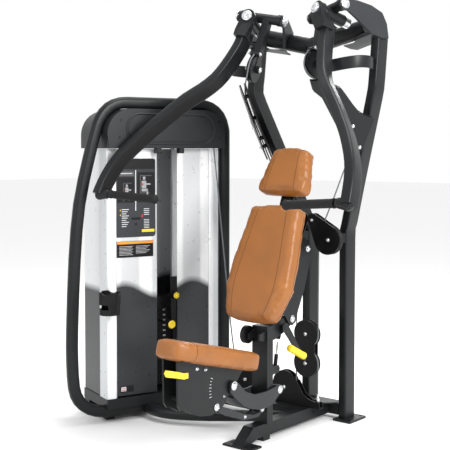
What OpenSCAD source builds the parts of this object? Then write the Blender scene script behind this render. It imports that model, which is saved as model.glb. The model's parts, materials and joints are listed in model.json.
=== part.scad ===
// Chest press machine: a two-arm press station joined to a weight stack tower.
// Millimetres. The origin is on the floor under the seat post, on the station's centre plane.
// +X is the user's left, -Y is the way the user faces, +Z is up.

/* [Base] */
// Width and height of the base tubes
base_tube = 50; // [45:1:54]
// Height of the base tubes above the floor
base_lift = 20; // [18:1:22]
// Distance of the rear crossmember's front face behind the origin
cross_y = 440; // [436:1:444]

/* [Uprights] */
// Width of an upright across the machine
upright_w = 38; // [34:1:42]
// Depth of an upright along the machine
upright_d = 76; // [70:1:80]
// Distance of each upright from the centre plane at the floor
upright_x = 95; // [90:1:100]

/* [Press arms] */
// Outer radius of the tube that turns on the press axis
press_tube_r = 21; // [19:0.5:23]
// Radius of the pin through the press tube
press_pin_r = 10; // [8:0.5:11]
// Radius of the shaft that each arm swings on
swing_shaft_r = 12; // [10:0.5:13]
// Radius of the cable cam
cam_r = 55; // [50:1:58]
// Radius of a hand grip
grip_r = 16; // [14:0.5:19]

/* [Pulleys and cables] */
// Radius from a pulley's centre to its cable's centre line
wheel_r = 55; // [52:0.5:56]
// Radius of the cables
cable_r = 3; // [2:0.25:3.5]
// Distance of the pulley plane behind the origin
pulley_y = 314; // [313:0.5:315]

/* [Seat and back pad] */
// Thickness of the seat cushion
seat_t = 64; // [55:1:70]
// Tilt of the seat, front edge up
seat_tilt = 14; // [12:0.5:15]
// Thickness of the back cushion
back_t = 70; // [60:1:74]
// Recline of the back cushion
back_tilt = 23; // [22:0.5:24]

/* [Tower] */
// Width of the tower between the outer faces of its columns
tower_w = 547; // [545:1:550]
// Depth of the tower
tower_d = 250; // [240:1:260]
// Height of the top of the panels
panel_top = 1165; // [1160:1:1168]
// Height of the top of the shroud
shroud_top = 1385; // [1370:1:1390]
// Number of plates in the stack
plate_count = 15; // [12:1:15]
// Number of plates that the selector pin lifts
lifted_count = 3; // [1:1:5]

/* [Hidden] */
$fn = 48;

// Clearance of a shaft in its bore
run = 0.05;
// Gap between pieces that move past each other
gap = 0.4;

// Press axis: a point on it and the turns that aim it, and the extra roll of the arm's own frame
press_at = [165, 205, 1711];
press_turn = [0, -10, -16];
arm_roll = -18;
// Swing axis in the arm's frame
swing_x = 30;
swing_z = -30;
// Cam centre in the arm's frame
cam_at = [-29, 4, -225];
cam_w = 24;

// Centre lines of the swept tubes, left side
UPRIGHT_PATH = [[95, 475, 10], [95, 475, 400], [95, 475, 780], [110, 466, 850], [200, 410, 1110],
    [290, 356, 1362], [305, 348, 1420], [305, 356, 1480], [305, 366, 1560], [305, 374, 1632]];
ARM_PATH = [[204, 150, 1650], [210, 130, 1600], [220, 105, 1557], [240, 70, 1500], [265, 32, 1447],
    [305, -10, 1402], [351, -53, 1363], [413, -101, 1301], [460, -140, 1250], [504, -178, 1200],
    [551, -227, 1136], [578, -262, 1080], [592, -295, 1020], [597, -318, 972]];
HOOP_PATH = [[302, 324, 1500], [322, 280, 1502], [328, 235, 1504], [310, 190, 1502], [275, 162, 1496],
    [235, 152, 1490], [204, 150, 1486]];
BASE_LINK_PATH = [[-20, 205, 44], [-100, 150, 44], [-180, 95, 44], [-280, 10, 44], [-380, -55, 44],
    [-470, -85, 44], [-550, -70, 44], [-600, -35, 44]];
// Route of the tower's outer tube, in the tower's own frame
LOOP_PATH = [[240, 31, 46], [60, 31, 46], [-10, 31, 48], [-70, 31, 66], [-116, 31, 106], [-138, 31, 165],
    [-145, 31, 280], [-144, 31, 419], [-131, 31, 707], [-109, 31, 933], [-67, 31, 1118], [-36, 31, 1232],
    [-14, 31, 1290], [26, 31, 1336], [80, 31, 1358], [150, 31, 1360], [300, 31, 1360], [450, 31, 1360],
    [516, 31, 1350], [564, 31, 1314], [587, 31, 1258], [590, 31, 1190], [590, 31, 800], [590, 31, 400],
    [590, 31, 104]];

// Hand grip ends
GRIP_IN = [322, -286, 964];
GRIP_OUT = [562, -318, 980];

// Cable guide frame: a point on the cable and the turns that aim the guide plates
guide_at = [217, 309, 1158];
guide_turn_z = -130.5;
guide_turn_x = -22.25;
GUIDE_ROLLERS = [[-16, 20], [16, 58], [2, 150], [112, 244]];

// Heights of the pulleys
arm_pulley_z = 787;
float_top_z = 382;
float_low_z = 257;
floor_pulley_z = 138;
floor_outer_x = -324;

// Cable routes, left half of the arm cable and the tower run of the stack cable
ARM_CABLE_SIDE = [[82, 313, 858], [130, 312, 962], [173, 311, 1062], [203, 310, 1128], [217, 309, 1158],
    [236, 297, 1213], [250, 272, 1278], [247, 234, 1333], [234, 195, 1370], [210, 152, 1398],
    [178, 112, 1430], [152, 88, 1458], [139, 80, 1490], [136, 92, 1526], [137, 118, 1552]];
STACK_TOP = [[-666, 70, 604], [-666, 70, 700], [-666, 70, 900], [-666, 70, 1100], [-666, 70, 1230]];
TOP_EXIT = [-443, 214, 1230];

// Seat linkage, in the Y-Z plane
LINK_UP_FIXED = [51, 200];
LINK_LOW_FIXED = [-38, 134];
LINK_REACH = [-294, 69];
seat_pin_r = 8;
seat_at = [0, -150, 315];
seat_len = 443;

// Back pad pivot and frames
PAD_PIVOT = [149, 471];
LEVER_PIVOT = [88, 443];
back_at = [0, -42, 478];
back_len = 477;
head_at = [0, 166, 965];
head_tilt = 25;
head_len = 200;
SPRING_LOW = [84, 272];
SPRING_TOP = [105, 400];
spring_rod_r = 4;

// Tower frame
tower_at = [-633, -250, 0];
tower_turn = 70;
column_w = 49;
column_d = 75;
panel_base = 102;
stack_x = 290;
stack_y = 140;
plate_w = 250;
plate_d = 110;
plate_pitch = 23;
plate_t = 22;
rod_x = 95;
shroud_left = -10;
shroud_right = 558;
rod_r = 9;
stack_z = 117;
head_h = 130;
pin_r = 5;

function unit(v) = v / norm(v);

function curve_point(a, b, c, d, t) =
    0.5 * (2 * b + (c - a) * t + (2 * a - 5 * b + 4 * c - d) * t * t + (3 * b - a - 3 * c + d) * t * t * t);

// Smooth line through the points of p, with n steps between neighbours
function smooth(p, n) = concat(
    [for (i = [0 : len(p) - 2], k = [0 : n - 1])
        curve_point(p[max(i - 1, 0)], p[i], p[i + 1], p[min(i + 2, len(p) - 1)], k / n)],
    [p[len(p) - 1]]);

// Arc in the X-Z plane about c, from angle a to angle b
function arc_xz(c, r, a, b, n) = [for (k = [0 : n]) let (t = a + (b - a) * k / n)
    [c[0] + r * cos(t), c[1], c[2] + r * sin(t)]];

// Rounded rectangle and circle as outlines
function round_rect(w, h, r, n = 3) =
    [for (c = [[1, -1, -90], [1, 1, 0], [-1, 1, 90], [-1, -1, 180]], k = [0 : n])
        [c[0] * (w / 2 - r) + r * cos(c[2] + 90 * k / n), c[1] * (h / 2 - r) + r * sin(c[2] + 90 * k / n)]];
function ring(r, n) = [for (k = [0 : n - 1]) [r * cos(360 * k / n), r * sin(360 * k / n)]];

function flip_x(p) = [for (q = p) [-q[0], q[1], q[2]]];
function reversed(p) = [for (i = [len(p) - 1 : -1 : 0]) p[i]];

// Solid swept along a path; the outline's second axis stays towards up
module sweep(path, outline, up = [0, 0, 1]) {
    n = len(path);
    m = len(outline);
    points = [for (i = [0 : n - 1])
        let (t = unit(path[min(i + 1, n - 1)] - path[max(i - 1, 0)]), s = unit(cross(t, up)), v = cross(s, t))
        for (q = outline) path[i] + s * q[0] + v * q[1]];
    sides = [for (i = [0 : n - 2], j = [0 : m - 1], h = [0, 1])
        let (k = (j + 1) % m, a = i * m + j, b = i * m + k, c = (i + 1) * m + k, d = (i + 1) * m + j)
        h == 0 ? [a, b, c] : [a, c, d]];
    caps = [[for (j = [m - 1 : -1 : 0]) j], [for (j = [0 : m - 1]) (n - 1) * m + j]];
    polyhedron(points, concat(caps, sides), convexity = 10);
}

// Plate in the Y-Z plane, centred on x
module side_plate(x, t) {
    translate([x - t / 2, 0, 0]) rotate([90, 0, 90]) linear_extrude(t) children();
}

// Plate in the X-Z plane whose front face is at y
module front_plate(y, t) {
    translate([0, y + t, 0]) rotate([90, 0, 0]) linear_extrude(t) children();
}

module x_rod(x0, x1, yz, r) {
    translate([x0, yz[0], yz[1]]) rotate([0, 90, 0]) cylinder(r = r, h = x1 - x0);
}

module y_rod(y0, y1, xz, r) {
    translate([xz[0], y0, xz[1]]) rotate([-90, 0, 0]) cylinder(r = r, h = y1 - y0);
}

// Cylinder from a to b
module rod_between(a, b, r) {
    d = b - a;
    translate(a) rotate([0, acos(d[2] / norm(d)), atan2(d[1], d[0])]) cylinder(r = r, h = norm(d));
}

module on_side(side) {
    if (side > 0) children();
    else mirror([1, 0, 0]) children();
}

module both_sides() {
    children();
    mirror([1, 0, 0]) children();
}

module cowl_frame() {
    translate(press_at) rotate(press_turn) children();
}

module arm_frame() {
    cowl_frame() rotate([arm_roll, 0, 0]) children();
}

module guide_frame() {
    translate(guide_at) rotate([0, 0, guide_turn_z]) rotate([guide_turn_x, 0, 0]) children();
}

module seat_frame() {
    translate(seat_at) rotate([-seat_tilt, 0, 0]) children();
}

module back_frame() {
    translate(back_at) rotate([-back_tilt, 0, 0]) children();
}

module head_frame() {
    translate(head_at) rotate([-head_tilt, 0, 0]) children();
}

module tower_frame() {
    translate(tower_at) rotate([0, 0, tower_turn]) children();
}

// Grooved cable wheel about the Y axis, centred on xz in the pulley plane
module wheel(xz, y = pulley_y, r = wheel_r) {
    translate([xz[0], y, xz[1]]) rotate([90, 0, 0]) rotate_extrude()
        polygon([[8 + run, -6], [16, -8], [18, -4], [r - 12, -4], [r - 7, -8], [r + 2.5, -8],
            [r - 3.6, -2.5], [r - 3.6, 2.5], [r + 2.5, 8], [r - 7, 8], [r - 12, 4], [18, 4], [16, 8],
            [8 + run, 6]]);
}

// Axle of a wheel between its two guard plates
module wheel_axle(xz, y0, y1) {
    y_rod(y0, y1, xz, 8);
}

module bolt_head(r, h) {
    cylinder(r = r, h = h);
    translate([0, 0, h]) cylinder(r = r * 0.62, h = h * 0.8, $fn = 6);
}

// ---------------------------------------------------------------- base

module spine() {
    color("#2a2c2e") difference() {
        union() {
            translate([-base_tube / 2, -90, base_lift]) cube([base_tube, cross_y + 90, base_tube]);
            side_plate(0, base_tube) polygon([[-40, base_lift + base_tube], [-90, base_lift + base_tube],
                [-165, 8], [-108, 8], [-60, base_lift]]);
            translate([-70, -166, 0]) cube([140, 70, 8]);
            translate([-22, -22, 0]) cube([44, 44, base_lift]);
        }
        for (x = [-50, 50]) translate([x, -131, -1]) cylinder(r = 6, h = 10);
    }
}

module rear_crossmember() {
    color("#2a2c2e") {
        translate([-upright_x + upright_w / 2 + gap, cross_y, base_lift])
            cube([2 * upright_x - upright_w - 2 * gap, base_tube, base_tube]);
        for (s = [-1, 1]) linear_extrude_at(base_lift + base_tube, 6)
            polygon([[s * 24, cross_y - 2], [s * 24, cross_y - 60], [s * 74, cross_y - 2]]);
    }
}

module linear_extrude_at(z, h) {
    translate([0, 0, z]) linear_extrude(h) children();
}

module foot_plates() {
    color("#2a2c2e") both_sides() difference() {
        translate([upright_x - 27, 410, 0]) cube([86, 128, 10]);
        for (y = [424, 524]) translate([upright_x + 42, y, -1]) cylinder(r = 7, h = 12);
    }
}

module base_link() {
    color("#2a2c2e") {
        sweep(smooth(BASE_LINK_PATH, 2), round_rect(44, 48, 20));
        translate([-385, 262, base_lift]) cube([360 - gap, 48, base_tube - 1]);
        translate([-540, 262, base_lift]) cube([155, 40, base_tube - 1]);
    }
}

// ---------------------------------------------------------------- uprights and boom

module upright(side) {
    color("#2a2c2e") sweep(smooth(side > 0 ? UPRIGHT_PATH : flip_x(UPRIGHT_PATH), 2),
        round_rect(upright_w, upright_d, 7, 2), [0, 1, 0]);
}

module upright_left() {
    upright(1);
}

module upright_right() {
    upright(-1);
}

module top_boom() {
    color("#2a2c2e") {
        both_sides() rod_between([0, 330, 1592], [262, 344, 1652], 36);
    }
}

module cowl(side) {
    color("#3a3d40") on_side(side) cowl_frame() {
        difference() {
            union() {
                side_plate(98, 10) polygon([[-24, -8], [-16, 14], [6, 22], [69, 18], [141, 4], [196, -22],
                    [214, -66], [214, -126], [171, -126], [125, -111], [90, -84], [50, -52], [14, -26], [-14, -24]]);
                side_plate(-98, 10) polygon([[-24, -8], [-14, 16], [8, 22], [40, 14], [92, -12], [136, -36],
                    [144, -70], [128, -104], [60, -108], [36, -60], [14, -26], [-14, -24]]);
                side_plate(10, 176) polygon([[120, -104], [128, -112], [172, -124], [210, -126],
                    [210, -119], [172, -117], [130, -105], [123, -98]]);
            }
            x_rod(-120, 120, [0, 0], press_pin_r + run);
            on_boom_hole();
        }
    }
}

// Room for the boom through a cowl's plates, in the cowl's own frame
module on_boom_hole() {
    rotate([0, 0, -press_turn[2]]) rotate([0, -press_turn[1], 0])
        translate(-press_at) rod_between([0, 330, 1592], [262, 344, 1652], 36.2);
}

module cowl_left() {
    cowl(1);
}

module cowl_right() {
    cowl(-1);
}

module press_pins() {
    color("#c9ccd0") both_sides() cowl_frame() {
        x_rod(-108, 108, [0, 0], press_pin_r);
        for (s = [-1, 1]) translate([s * 103, 0, 0]) rotate([0, s * 90, 0]) bolt_head(21, 5);
    }
}

module stop_hoops() {
    color("#303336") {
        for (s = [-1, 1]) sweep(smooth(s > 0 ? HOOP_PATH : flip_x(HOOP_PATH), 3), round_rect(10, 48, 3, 1));
    }
}

module cable_guides() {
    color("#26282a") both_sides() guide_frame() {
        for (y = [-13, 8]) translate([0, y + 5, 0]) rotate([90, 0, 0]) linear_extrude(5)
            polygon([[206, 294], [190, 252], [150, 222], [64, 84], [24, -36], [-4, -40], [-24, -6], [-40, 10],
                [-72, 140], [-28, 155], [-2, 172], [26, 202], [60, 243], [80, 266], [104, 275], [150, 296]]);
        for (q = GUIDE_ROLLERS) translate([q[0], 8, q[1]]) rotate([90, 0, 0]) cylinder(r = 9, h = 16);
    }
}

// ---------------------------------------------------------------- press rocker and arm

module press_rocker(side) {
    color("#232527") on_side(side) arm_frame() difference() {
        union() {
            x_rod(-91, 91, [0, 0], press_tube_r);
            x_rod(-91, -76, [0, 0], press_tube_r + 3);
            x_rod(76, 91, [0, 0], press_tube_r + 3);
            y_rod(-34, 58, [swing_x, swing_z], 24);
            side_plate(cam_at[0], 30) polygon([[-19, 0], [19, 0], [24, -150], [26, -225], [-18, -225], [-17, -150]]);
            translate(cam_at) rotate([0, 90, 0]) rotate_extrude() cam_outline();
            x_rod(-56, 0, [cam_at[1], cam_at[2]], 15);
            x_rod(-50, -8, [-26, -168], 9);
        }
        x_rod(-95, 95, [0, 0], press_pin_r + run);
        y_rod(-60, 70, [swing_x, swing_z], swing_shaft_r + run);
    }
}

// Half section of the cam: a disc with a cable groove
module cam_outline() {
    polygon([[0, -cam_w / 2], [cam_r, -cam_w / 2], [cam_r, -7], [cam_r - 9, -4], [cam_r - 9, 4], [cam_r, 7],
        [cam_r, cam_w / 2], [0, cam_w / 2]]);
}

module press_rocker_left() {
    press_rocker(1);
}

module press_rocker_right() {
    press_rocker(-1);
}

module swing_shaft(side) {
    color("#c9ccd0") on_side(side) arm_frame() {
        y_rod(-86, 84, [swing_x, swing_z], swing_shaft_r);
        y_rod(60, 84, [swing_x, swing_z], 23);
        y_rod(-84, -79, [swing_x, swing_z], 20);
    }
}

module swing_shaft_left() {
    swing_shaft(1);
}

module swing_shaft_right() {
    swing_shaft(-1);
}

module press_arm(side) {
    color("#2a2c2e") on_side(side) {
        arm_frame() difference() {
            union() {
                y_rod(-79, -53, [swing_x, swing_z], 32);
                hull() {
                    translate([swing_x - 28, -79, swing_z - 30]) cube([56, 26, 24]);
                    translate([22, -66, -112]) cube([52, 52, 24]);
                }
            }
            y_rod(-90, -40, [swing_x, swing_z], swing_shaft_r + run);
        }
    }
    color("#2a2c2e") {
        path = smooth(side > 0 ? ARM_PATH : flip_x(ARM_PATH), 2);
        sweep(path, round_rect(40, 68, 9, 2), [0, -1, 0.6]);
        on_side(side) hull() {
            translate([596, -322, 974]) sphere(r = 20, $fn = 20);
            translate(GRIP_OUT + [-2, 0, 0]) sphere(r = 19, $fn = 20);
        }
    }
}

module press_arm_left() {
    press_arm(1);
}

module press_arm_right() {
    press_arm(-1);
}

module hand_grip(side) {
    color("#141516") on_side(side) {
        rod_between(GRIP_IN, GRIP_OUT + 24 * unit(GRIP_IN - GRIP_OUT), grip_r);
        rod_between(GRIP_IN - 12 * unit(GRIP_OUT - GRIP_IN), GRIP_IN, grip_r + 2);
    }
}

module hand_grip_left() {
    hand_grip(1);
}

module hand_grip_right() {
    hand_grip(-1);
}

// ---------------------------------------------------------------- pulleys

module pulley_guards() {
    color("#141516") both_sides() {
        for (y = [pulley_y - 14, pulley_y + 10]) front_plate(y, 4) hull() {
            translate([104, arm_pulley_z]) circle(r = 62);
            translate([32, 870]) circle(r = 25);
        }
        wheel_axle([110, arm_pulley_z], pulley_y - 10, pulley_y + 10);
        y_rod(pulley_y - 10, pulley_y + 10, [30, 866], 8);
        translate([80, pulley_y + 14, arm_pulley_z - 20]) cube([30, 437 - pulley_y - 14, 40]);
    }
}

module arm_pulley_left() {
    color("#3a3a3a") wheel([110, arm_pulley_z]);
}

module arm_pulley_right() {
    color("#3a3a3a") wheel([-110, arm_pulley_z]);
}

module floor_guard() {
    color("#141516") {
        for (y = [pulley_y - 14, pulley_y + 10]) front_plate(y, 4) {
            translate([-108, 150]) circle(r = 62);
            polygon([[-160, 76], [72, 76], [72, 96], [20, 104], [-12, 122], [-46, 176], [-100, 150]]);
        }
        translate([-160, pulley_y - 14, base_lift + base_tube]) cube([232, 28, 6]);
        wheel_axle([-110, floor_pulley_z], pulley_y - 10, pulley_y + 10);
        translate([wheel_r, pulley_y, 76]) cylinder(r = 8, h = 32);
        for (y = [pulley_y - 14, pulley_y + 10]) front_plate(y, 4) {
            translate([floor_outer_x, floor_pulley_z]) circle(r = 62);
            translate([floor_outer_x - 40, 70]) square([80, 60]);
        }
        wheel_axle([floor_outer_x, floor_pulley_z], pulley_y - 10, pulley_y + 10);
    }
}

module floor_pulley_inner() {
    color("#3a3a3a") wheel([-110, floor_pulley_z]);
}

module floor_pulley_outer() {
    color("#3a3a3a") wheel([floor_outer_x, floor_pulley_z]);
}

// The two top wheels lie in the upright plane from the stack's centre to the exit point
top_dir = unit(TOP_EXIT - [-666, 70, 1230]);

module top_wheel(from_stack) {
    at = [-666, 70, 1229] + top_dir * from_stack;
    translate(at) rotate([0, 0, atan2(top_dir[1], top_dir[0])]) wheel([0, 0], 0);
}

module tower_pulley_inner() {
    color("#3a3a3a") top_wheel(wheel_r);
}

module tower_pulley_outer() {
    color("#3a3a3a") top_wheel(norm(TOP_EXIT - [-666, 70, 1230]) - wheel_r);
}

module float_covers() {
    color("#141516") {
        for (y = [pulley_y - 14, pulley_y + 9]) front_plate(y, 4) union() {
            for (z = [float_top_z, float_low_z]) translate([0, z]) circle(r = 59);
            translate([-46, float_low_z]) square([92, float_top_z - float_low_z]);
        }
        for (z = [float_top_z, float_low_z]) wheel_axle([0, z], pulley_y - 10, pulley_y + 9);
    }
}

module float_wheel_upper() {
    color("#3a3a3a") wheel([0, float_top_z]);
}

module float_wheel_lower() {
    color("#3a3a3a") wheel([0, float_low_z]);
}

// ---------------------------------------------------------------- cables

function arm_half() = concat(
    arc_xz([0, pulley_y, float_top_z], wheel_r, -90, 0, 6),
    [[wheel_r, pulley_y, 520], [wheel_r, pulley_y, 660]],
    arc_xz([2 * wheel_r, pulley_y, arm_pulley_z], wheel_r, 180, 157, 2),
    smooth(ARM_CABLE_SIDE, 2));

module arm_cable() {
    half = arm_half();
    color("#5a5d60") sweep(concat(reversed([for (i = [1 : len(half) - 1]) [-half[i][0], half[i][1], half[i][2]]]), half),
        ring(cable_r, 8), [0, 1, 0]);
}

function along_top(d, z) = [-666 + top_dir[0] * d, 70 + top_dir[1] * d, z];

function stack_route() = let (far = norm(TOP_EXIT - [-666, 70, 1230])) concat(
    STACK_TOP,
    [for (k = [1 : 6]) along_top(wheel_r * (1 - cos(15 * k)), 1229 + wheel_r * sin(15 * k))],
    [for (k = [0 : 5]) along_top(far - wheel_r + wheel_r * sin(15 * k), 1229 + wheel_r * cos(15 * k))],
    [TOP_EXIT, [-430, 234, 1010], [-418, 253, 780], [-406, 272, 560], [-394, 291, 345], [-384, 306, 220]],
    arc_xz([floor_outer_x, pulley_y, floor_pulley_z], wheel_r, 180, 270, 6),
    [[-260, pulley_y, floor_pulley_z - wheel_r], [-180, pulley_y, floor_pulley_z - wheel_r]],
    arc_xz([-110, pulley_y, floor_pulley_z], wheel_r, -90, 0, 6),
    [[-wheel_r, pulley_y, 200]],
    arc_xz([0, pulley_y, float_low_z], wheel_r, 180, 0, 12),
    [[wheel_r, pulley_y, 180], [wheel_r, pulley_y, 108.2]]);

module stack_cable() {
    color("#5a5d60") sweep(stack_route(), ring(cable_r, 8), [0.2, 1, 0.01]);
}

// ---------------------------------------------------------------- seat

function link_up_free() = LINK_UP_FIXED + LINK_REACH;
function link_low_free() = LINK_LOW_FIXED + LINK_REACH;

module seat_post() {
    color("#2a2c2e") {
        difference() {
            union() {
                translate([-38, -19, base_lift + base_tube]) cube([76, 38, 390]);
                for (x = [-34, 34]) side_plate(x, 7) polygon([[18, 180], [60, 184], [68, 200], [60, 216], [18, 224]]);
                for (x = [-14, 14]) side_plate(x, 8) polygon([[-18, 112], [-36, 118], [-54, 130], [-54, 142],
                    [-36, 152], [-18, 154]]);
                for (x = [-26, 26]) side_plate(x, 8) polygon([[-60, 410], [-60, 432], [-10, 450], [90, 482],
                    [140, 492], [168, 490], [174, 462], [150, 444], [96, 418], [40, 400], [-18, 400]]);
                x_rod(-56, -38, [-40, 424], 36);
                for (x = [-12, 12]) side_plate(x, 6) polygon([[18, 250], [92, 258], [98, 272], [92, 286], [18, 292]]);
            }
            x_rod(-60, 60, LINK_UP_FIXED, seat_pin_r + run);
            x_rod(-60, 60, LINK_LOW_FIXED, seat_pin_r + run);
            x_rod(-60, 60, PAD_PIVOT, seat_pin_r + run);
            x_rod(10, 60, LEVER_PIVOT, seat_pin_r + run);
            x_rod(-60, 60, SPRING_LOW, 5 + run);
        }
    }
}

module seat_upper_link() {
    color("#34373a") {
        for (x = [-46, 46]) side_plate(x, 7) dish_outline();
        side_plate(0, 92) polygon([[-226, 214], [-186, 180], [-136, 158], [-85, 147], [-66, 146],
            [-66, 152], [-84, 153], [-134, 164], [-182, 186], [-221, 219]]);
        x_rod(-54, 54, link_up_free(), seat_pin_r);
        x_rod(-54, 54, LINK_UP_FIXED, seat_pin_r);
    }
}

// Curved side of the upper seat link
module dish_outline() {
    polygon([[-262, 250], [-236, 221], [-186, 181], [-136, 158], [-85, 145], [-30, 143], [10, 152], [46, 180],
        [70, 196], [62, 214], [44, 220], [20, 214], [-40, 208], [-110, 210], [-170, 232], [-218, 276],
        [-244, 288], [-262, 276]]);
    translate(link_up_free()) circle(r = 19);
    translate(LINK_UP_FIXED) circle(r = 19);
}

module seat_lower_link() {
    color("#34373a") {
        for (x = [-23, 23]) side_plate(x, 7) {
            translate(link_low_free()) circle(r = 13);
            translate(LINK_LOW_FIXED) circle(r = 12);
            polygon([[-345, 200], [-320, 208], [-240, 176], [-149, 137], [-90, 122], [-54, 124], [-36, 141],
                [-27, 128], [-60, 108], [-149, 112], [-250, 150]]);
        }
        x_rod(-38, 38, link_low_free(), seat_pin_r);
        x_rod(-27, 27, LINK_LOW_FIXED, seat_pin_r);
        x_rod(-20, 20, [-149, 126], 7);
    }
}

module seat_carriage() {
    color("#2a2c2e") difference() {
        union() {
            for (x = [-33.5, 33.5]) side_plate(x, 7) polygon([[-548, 410], [-545, 250], [-530, 230], [-508, 224],
                [-470, 205], [-420, 186], [-362, 178], [-318, 184], [-286, 204], [-250, 245], [-222, 262],
                [-190, 300], [-170, 317]]);
            seat_frame() translate([-60, -405, -6]) cube([120, 375, 5.6]);
            x_rod(-30, 30, [-500, 262], 9);
        }
        x_rod(-60, 60, link_up_free(), seat_pin_r + run);
        x_rod(-60, 60, link_low_free(), seat_pin_r + run);
        x_rod(-60, 60, [-511, 352], 6 + run);
    }
}

module seat_cushion() {
    color("#b0763a") seat_frame() linear_extrude(seat_t) hull() {
        for (x = [-96, 96]) translate([x, -18]) circle(r = 18);
        for (x = [-100, 100]) translate([x, -90]) circle(r = 14);
        for (x = [-48, 48]) translate([x, -seat_len + 28]) circle(r = 28);
    }
}

module seat_lever() {
    color("#e2c93c") {
        x_rod(-37, 50, [-511, 352], 6);
        side_plate(43, 8) polygon([[-524, 343], [-500, 343], [-500, 362], [-520, 364], [-552, 374], [-612, 390],
            [-620, 380], [-612, 366], [-556, 352]]);
    }
}

// ---------------------------------------------------------------- back pad

module pad_frame() {
    color("#2a2c2e") {
        difference() {
            union() {
                for (x = [-36, 36]) side_plate(x, 6) polygon([[-26, 500], [110, 826], [190, 826], [262, 778],
                    [282, 750], [272, 690], [236, 587], [190, 500], [172, 455], [149, 444], [128, 452], [96, 492]]);
                back_frame() translate([-75, 0.4, 30]) cube([150, 6, 400]);
                back_frame() translate([-30, 0.4, 400]) cube([60, 8, 180]);
                head_frame() translate([-45, 0.4, 10]) cube([90, 6, 150]);
                side_plate(0, 10) polygon([[88, 496], [128, 452], [118, 400], [112, 388], [98, 390], [92, 404],
                    [90, 440], [60, 480], [40, 510], [70, 560]]);
                side_plate(0, 76) polygon([[262, 770], [276, 750], [270, 746], [256, 764]]);
            }
            x_rod(-60, 60, PAD_PIVOT, seat_pin_r + run);
            x_rod(-60, 60, SPRING_TOP, 5 + run);
        }
    }
}

module pad_outline() {
    hull() {
        for (x = [-105, 105]) translate([x, 24]) circle(r = 22);
        for (x = [-143, 143]) translate([x, 125]) circle(r = 18);
    }
    hull() {
        for (x = [-143, 143]) translate([x, 125]) circle(r = 18);
        for (x = [-137, 137]) translate([x, 250]) circle(r = 18);
    }
    hull() {
        for (x = [-137, 137]) translate([x, 250]) circle(r = 18);
        for (x = [-108, 108]) translate([x, back_len - 40]) circle(r = 20);
        translate([0, back_len - 40]) circle(r = 40);
    }
}

module back_cushion() {
    color("#a0632c") back_frame() rotate([90, 0, 0]) linear_extrude(back_t) pad_outline();
}

module headrest_cushion() {
    color("#a0632c") head_frame() rotate([90, 0, 0]) linear_extrude(back_t) hull() {
        for (x = [-97, 97]) translate([x, 20]) circle(r = 20);
        for (x = [-72, 72]) translate([x, head_len - 30]) circle(r = 20);
        translate([0, head_len - 60]) circle(r = 60);
    }
}

module range_lever() {
    color("#232527") {
        x_rod(20, 52, LEVER_PIVOT, seat_pin_r);
        side_plate(47, 7) polygon([[70, 440], [78, 460], [98, 462], [132, 420], [196, 334], [236, 296], [226, 284],
            [180, 316], [112, 396]]);
        side_plate(47, 7) translate(LEVER_PIVOT) circle(r = 20);
    }
    color("#e2c93c") rod_between([66, 190, 316], [66, 96, 362], 14);
    color("#232527") rod_between([44, 190, 316], [66, 190, 316], 8);
}

// Point on the gas spring's axis, at distance d from its lower pivot
function spring_point(d) = let (a = [0, SPRING_LOW[0], SPRING_LOW[1]], b = [0, SPRING_TOP[0], SPRING_TOP[1]])
    a + d * unit(b - a);

module gas_spring_tube() {
    color("#1c1d1e") {
        x_rod(-8, 8, SPRING_LOW, 9);
        difference() {
            rod_between([0, SPRING_LOW[0], SPRING_LOW[1]], spring_point(58), 8);
            rod_between(spring_point(20), spring_point(62), spring_rod_r + run);
        }
        x_rod(-16, 16, SPRING_LOW, 5);
    }
}

module gas_spring_rod() {
    color("#9a9da0") rod_between(spring_point(32), spring_point(108), spring_rod_r);
}

// ---------------------------------------------------------------- tower

module tower_base() {
    color("#232527") tower_frame() {
        translate([0, -4, 60]) cube([608, tower_d + 8, 42]);
        translate([0, 52, base_lift]) cube([600, 50, 40]);
        translate([0, 196, base_lift]) cube([600, 50, 40]);
        for (x = [20, 540], y = [57, 201]) translate([x, y, 0]) cube([40, 40, base_lift]);
    }
}

module tower_columns() {
    color("#c8ccd0") tower_frame() for (x = [0, tower_w - column_w])
        translate([x, 0, panel_base]) linear_extrude(panel_top - panel_base) hull() {
            for (cx = [10, column_w - 10]) translate([cx, 10]) circle(r = 10);
            translate([0, column_d - 5]) square([column_w, 5]);
        }
}

module front_panels() {
    color("#d4d8db") tower_frame() {
        linear_extrude_at(panel_base + 6, panel_top - panel_base - 8)
            polygon([[50, 8], [240, 8], [240, 50], [236, 50], [236, 12], [50, 12]]);
        linear_extrude_at(panel_base + 6, panel_top - panel_base - 8)
            polygon([[340, 8], [497, 8], [497, 12], [344, 12], [344, 50], [340, 50]]);
    }
}

module rear_cover() {
    color("#d4d8db") tower_frame() linear_extrude_at(panel_base, panel_top - panel_base)
        polygon([[4, 76], [8, 76], [8, 246], [539, 246], [539, 76], [543, 76], [543, 250], [4, 250]]);
}

module top_shroud() {
    color("#34373a") tower_frame() {
        difference() {
            shroud_block(-38, tower_d, 0);
            shroud_block(-32, tower_d - 6, 6);
            translate([shroud_left + 6, -32, panel_top]) cube([shroud_right - shroud_left - 12, tower_d + 26, 20]);
        }
        for (x = [218, 328]) translate([x, -38, panel_top - 20]) cube([24, 30, 22.5]);
    }
}

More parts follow.
